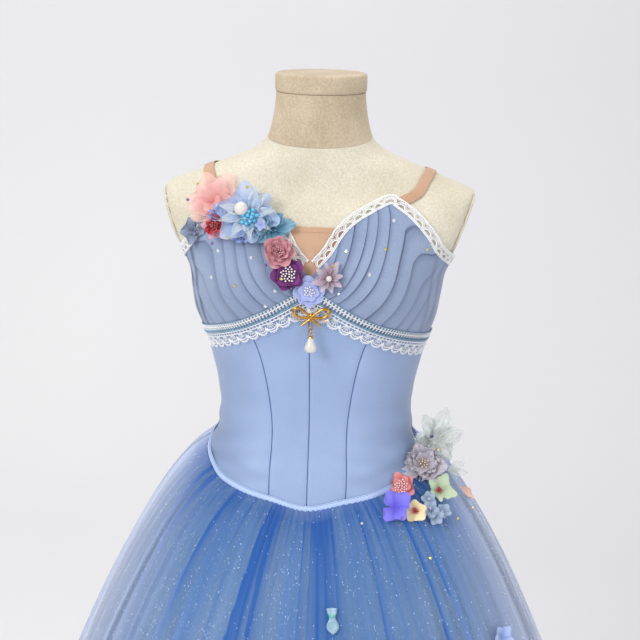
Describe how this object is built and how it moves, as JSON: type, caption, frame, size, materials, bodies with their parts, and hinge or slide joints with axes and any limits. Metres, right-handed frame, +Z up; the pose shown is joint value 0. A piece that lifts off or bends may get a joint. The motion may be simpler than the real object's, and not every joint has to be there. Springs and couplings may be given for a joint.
{
  "type": "ballet dress on a dress form",
  "caption": "Ballet dress with pleated cups, a pointed basque bodice, flower trimmings and a long gathered tulle skirt, on a limbless dress form with a pole and a round base.",
  "frame": {"origin": "on the floor, under the middle of the whole object, which is the pole's axis", "axes": "+Z up, the dress's front faces -Y, and the wearer's left is at +X"},
  "size_m": [0.864, 0.8316, 1.44],
  "materials": {
    "form_linen": "undyed linen over a hard form",
    "neck_linen": "darker woven linen",
    "stand_steel": "satin dark paint",
    "bodice_satin": "pale blue satin",
    "binding_satin": "paler blue satin",
    "cup_chiffon": "pleated grey-blue chiffon",
    "skin_cloth": "skin-coloured stretch cloth",
    "white_lace": "white cotton lace",
    "blue_braid": "looped blue braid",
    "blue_tulle": "blue tulle",
    "glitter_tulle": "tulle with glitter",
    "ivory_tulle": "ivory tulle",
    "flower_coral": "coral organza",
    "flower_blue": "pale blue organza",
    "flower_turquoise": "turquoise organza",
    "flower_crimson": "crimson organza",
    "flower_purple": "purple velvet and organza",
    "flower_grey": "grey and ivory organza",
    "flower_cream": "cream satin",
    "flower_green": "green organza",
    "gold": "polished gold plating",
    "pearl": "pearl lacquer",
    "crystal": "cut crystal"
  },
  "bodies": {
    "dress_and_form": {"form_torso": "form_linen", "arm_plate_left": "form_linen", "arm_plate_right": "form_linen", "form_neck": "neck_linen", "neck_cap": "neck_linen", "stand_pole": "stand_steel", "stand_base": "stand_steel", "bodice_front_left": "bodice_satin", "bodice_front_right": "bodice_satin", "bodice_side_left": "bodice_satin", "bodice_side_right": "bodice_satin", "bodice_back_left": "bodice_satin", "bodice_back_right": "bodice_satin", "back_placket": "bodice_satin", "cup_left": "cup_chiffon", "cup_right": "cup_chiffon", "neckline_insert": "skin_cloth", "strap_left": "skin_cloth", "strap_right": "skin_cloth", "neckline_lace_left": "white_lace", "neckline_lace_right": "white_lace", "underbust_braid": "blue_braid", "underbust_lace": "white_lace", "basque_binding": "binding_satin", "skirt_outer": "blue_tulle", "skirt_glitter": "glitter_tulle", "skirt_under": "ivory_tulle", "coral_organza_flower": "flower_coral", "blue_organza_flower": "flower_blue", "turquoise_ruffle": "flower_turquoise", "crimson_flower": "flower_crimson", "grey_blue_petals": "flower_grey", "dusty_rose_flower": "flower_coral", "purple_flower": "flower_purple", "periwinkle_flower": "flower_blue", "mauve_flower": "flower_grey", "ivory_organza_flower": "flower_grey", "grey_ruffle_flower": "flower_grey", "coral_rose": "flower_coral", "violet_flower": "flower_purple", "cream_flower": "flower_cream", "pale_blue_flower": "flower_blue", "green_flower": "flower_green", "skirt_flower": "flower_blue", "pearl_bead": "pearl", "crystal_drop": "crystal", "brooch_bow": "gold"},
    "link": {"drop_link": "gold"},
    "pearl": {"pearl_drop": "pearl"}
  },
  "joints": [
    {"name": "link_swing", "type": "hinge", "parent": "dress_and_form", "child": "link", "pos_m": [0.0035, -0.1224, 1.1477], "axis": [0, 1, 0], "range_deg": [-30, 30]},
    {"name": "pearl_swing", "type": "hinge", "parent": "link", "child": "pearl", "pos_m": [0.0035, -0.1224, 1.1409], "axis": [0, 1, 0], "range_deg": [-30, 30]}
  ]
}
